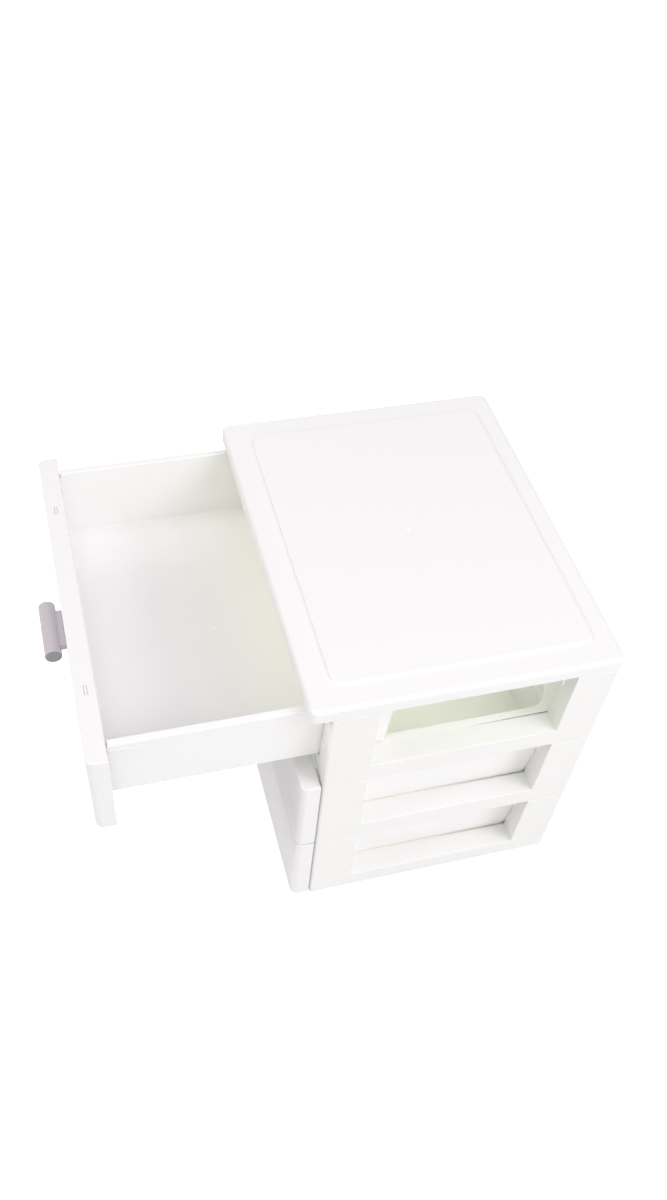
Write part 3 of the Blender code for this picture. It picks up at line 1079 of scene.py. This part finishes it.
def hang_light(name: str, place: Vector, size: Sequence[float], power: float,
               colour: Sequence[float]) -> bpy.types.Object:
    """Hang a rectangular area light that faces down.

    Args:
        name: the light's name.
        place: where it hangs.
        size: its width and its depth.
        power: its power in watts.
        colour: its colour.

    Returns:
        The light's object, which the camera doesn't see.
    """
    data = bpy.data.lights.new(name, "AREA")
    data.shape = "RECTANGLE"
    data.size, data.size_y = size
    data.energy = power
    data.color = colour
    lamp = bpy.data.objects.new(name, data)
    lamp.location = place
    lamp.visible_camera = False
    bpy.context.scene.collection.objects.link(lamp)
    return lamp


@dataclass(frozen=True)
class SoftBox:
    """A square soft box that looks at the chest."""

    name: str
    place: tuple[float, float, float]
    size: float
    power: float
    colour: tuple[float, float, float]

    def hang(self, target: Vector) -> None:
        """Put the soft box in the scene, turned to a target."""
        place = Vector(self.place)
        lamp = hang_light(self.name, place, (self.size, self.size), self.power, self.colour)
        lamp.rotation_euler = (target - place).to_track_quat("-Z", "Y").to_euler()


class Facing(Enum):
    """Where a lamp inside the chest shines, as its turn about X in degrees."""

    DOWN = 0.0
    REARWARD = 90.0


@dataclass(frozen=True)
class ThroughLight:
    """A faint lamp inside the chest, for the daylight that its thin white walls let through."""

    name: str
    place: tuple[float, float, float]
    size: tuple[float, float]
    power: float
    colour: tuple[float, float, float]
    facing: Facing = Facing.DOWN

    def hang(self) -> None:
        """Put the lamp in its place, out of sight and without a reflection."""
        lamp = hang_light(self.name, Vector(self.place), self.size, self.power, self.colour)
        lamp.rotation_euler.x = math.radians(self.facing.value)
        lamp.visible_glossy = False


@dataclass(frozen=True)
class SeamLights:
    """The lamps in the narrow seams round the drawers, which the thin walls beside them light."""

    ledge: float = 8.6 * MM
    wall: float = 8.6 * MM
    rear_post: float = 15.5 * MM
    groove_width: float = 0.4 * MM
    gap_width: float = 3.0 * MM
    inset: float = 0.3 * MM
    gap_foot: float = 1.2
    gap_trim: float = 1.6
    groove_power: float = 0.00012
    gap_power: float = 0.00016
    panel_power: float = 0.0022
    panel_colour: tuple[float, float, float] = (1.0, 0.985, 0.96)
    colour: tuple[float, float, float] = (1.0, 0.93, 0.68)

    def lamps(self) -> list[ThroughLight]:
        """Every seam's lamp, placed by the boxes of the chest's pieces.

        Returns:
            The lamps, with one behind each front that is shut.
        """
        made = []
        for level in Level:
            low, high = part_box(f"tier_frame_{level.value}")
            for side in Side:
                made += self.beside_tub(f"{level.value}_{side.name.lower()}", low, high, side.value)
            panel_low, panel_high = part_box(f"drawer_front_{level.value}")
            if low.y - panel_high.y < MM:
                middle = (0.0, panel_high.y + self.inset / 3, (panel_low.z + panel_high.z) / 2)
                size = (panel_high.x - panel_low.x, panel_high.z - panel_low.z)
                made.append(ThroughLight(f"{level.value}_panel_seam", middle, size, self.panel_power,
                                         self.panel_colour, Facing.REARWARD))
        return made

    def beside_tub(self, label: str, low: Vector, high: Vector, side: int) -> list[ThroughLight]:
        """The lamps in the groove along the ledge and in the gaps at the two posts.

        Args:
            label: the start of the lamps' names.
            low: the lowest corner of the tier's box.
            high: the highest corner of the tier's box.
            side: the sign of X on this side.

        Returns:
            Three lamps.
        """
        groove_x = side * (high.x - self.wall - self.groove_width / 2)
        length = high.y - low.y - 2 * self.rear_post
        groove = ThroughLight(f"{label}_groove", (groove_x, (low.y + high.y) / 2, low.z + self.ledge),
                              (self.groove_width, length), self.groove_power, self.colour)
        gap_x = side * (high.x - self.wall + self.gap_width / 3)
        tall = high.z - low.z - self.gap_trim * self.ledge
        height = low.z + self.gap_foot * self.ledge + tall / 2
        gaps = []
        for name, entry in (("front_gap", low.y), ("rear_gap", high.y - self.rear_post)):
            place = (gap_x, entry + self.inset, height)
            gaps.append(ThroughLight(f"{label}_{name}", place, (self.gap_width, tall), self.gap_power,
                                     self.colour, Facing.REARWARD))
        return [groove] + gaps


@dataclass
class Studio:
    """A white sweep, even daylight and soft boxes, and the camera."""

    floor_half: float = 4.0
    sky: tuple[float, float, float] = (1.0, 0.996, 1.0)
    sky_strength: float = 0.385
    floor_albedo: float = 0.80
    floor_glow: float = 0.75
    floor_roughness: float = 0.9
    seen_sky: float = 1.05
    aim: tuple[float, float, float] = (0.0, 0.0, 0.06)
    boxes: tuple[SoftBox, ...] = (
        SoftBox("key_box", (0.6, 0.65, 0.95), 0.6, 5.4, (0.98, 0.945, 1.0)),
        SoftBox("low_key_box", (0.9, 0.8, 0.45), 0.6, 1.4, (0.95, 0.92, 1.0)),
        SoftBox("front_box", (0.0, -1.05, 0.75), 0.5, 5.5, (1.0, 0.965, 0.95)),
        SoftBox("overhead_box", (0.0, 0.0, 1.2), 0.8, 1.5, (1.0, 0.95, 1.0)),
        SoftBox("rear_box", (0.0, 0.8, 0.95), 0.6, 0.5, (0.85, 0.86, 1.0)),
        SoftBox("right_box", (0.8, -0.1, 0.95), 0.6, 1.5, (0.98, 0.98, 0.88)),
        SoftBox("low_right_box", (1.2, 0.0, 0.45), 0.6, 1.8, (0.95, 1.0, 0.90)),
        SoftBox("low_left_box", (-1.2, 0.0, 0.4), 0.6, 2.1, (1.0, 0.96, 0.92)),
    )
    through: tuple[ThroughLight, ...] = (
        ThroughLight("top_bay", (0.0, 0.056, 0.1185), (0.09, 0.066), 0.0185, (0.97, 1.0, 0.85)),
        ThroughLight("top_overhang", (0.0, -0.004, 0.1185), (0.11, 0.010), 0.0035, (0.93, 1.0, 0.55)),
        ThroughLight("middle_bay", (0.0, 0.035, 0.0782), (0.10, 0.07), 0.0028, (0.8, 1.0, 0.36)),
    )
    seams: SeamLights = SeamLights()
    camera_place: tuple[float, float, float] = (0.25706, -0.08172, 0.40854)
    camera_turn: tuple[float, float, float] = (38.817, -3.543, 75.477)
    camera_lens: float = 33.380
    camera_shift: tuple[float, float] = (0.01813, 0.03371)
    camera_near: float = 0.01

    def build(self) -> None:
        """Make the floor, the light and the camera."""
        self.make_floor()
        self.make_sky()
        for box in self.boxes:
            box.hang(Vector(self.aim))
        for lamp in (*self.through, *self.seams.lamps()):
            lamp.hang()
        self.make_camera()

    def make_floor(self) -> None:
        """A plain white floor that stays white where the camera sees it."""
        shape = bmesh.new()
        bmesh.ops.create_grid(shape, x_segments=1, y_segments=1, size=self.floor_half)
        floor = put_in_scene("floor", shape)
        material = bpy.data.materials.new("floor_white")
        material.use_nodes = True
        work = Sockets(material.node_tree)
        shader = material.node_tree.nodes["Principled BSDF"]
        shader.inputs["Base Color"].default_value = (self.floor_albedo,) * 3 + (1.0,)
        shader.inputs["Roughness"].default_value = self.floor_roughness
        shader.inputs["Emission Color"].default_value = (1.0, 1.0, 1.0, 1.0)
        seen = work.node("ShaderNodeLightPath").outputs["Is Camera Ray"]
        work.link(work.maths("MULTIPLY", seen, self.floor_glow), shader.inputs["Emission Strength"])
        floor.data.materials.append(material)

    def make_sky(self) -> None:
        """Even light from all round, behind a white ground."""
        world = bpy.data.worlds.new("studio")
        world.use_nodes = True
        bpy.context.scene.world = world
        work = Sockets(world.node_tree)
        ground = world.node_tree.nodes["Background"]
        ground.inputs["Color"].default_value = (*self.sky, 1.0)
        seen = work.node("ShaderNodeLightPath").outputs["Is Camera Ray"]
        extra = work.maths("MULTIPLY", seen, self.seen_sky - self.sky_strength)
        work.link(work.maths("ADD", extra, self.sky_strength), ground.inputs["Strength"])

    def make_camera(self) -> None:
        """The camera above the right side of the chest, looking down into the open drawer."""
        data = bpy.data.cameras.new("camera")
        data.lens = self.camera_lens
        data.shift_x, data.shift_y = self.camera_shift
        data.clip_start = self.camera_near
        camera = bpy.data.objects.new("camera", data)
        camera.location = self.camera_place
        camera.rotation_euler = Euler([math.radians(angle) for angle in self.camera_turn], "XYZ")
        bpy.context.scene.collection.objects.link(camera)
        bpy.context.scene.camera = camera
        bpy.context.scene.view_settings.view_transform = "Standard"


class Chest:
    """The whole chest: a lid on three tiers, each with its drawer."""

    def __init__(self) -> None:
        """List the pieces from the desk up."""
        self.pieces: list[Lid | TierFrame | DrawerBox | DrawerFront | BarHandle] = []
        for level in Level:
            self.pieces += [TierFrame(level), DrawerBox(level), DrawerFront(level), BarHandle(level)]
        self.pieces.append(Lid())

    def build(self, effects: Effects) -> None:
        """Build and dress every piece."""
        for piece in self.pieces:
            piece.dress(effects, piece.build())


def main() -> None:
    """Build the chest and its studio."""
    logging.basicConfig(level=logging.INFO, format="%(name)s: %(message)s")
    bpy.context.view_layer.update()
    Chest().build(Effects())
    Studio().build()


if __name__ == "__main__":
    main()
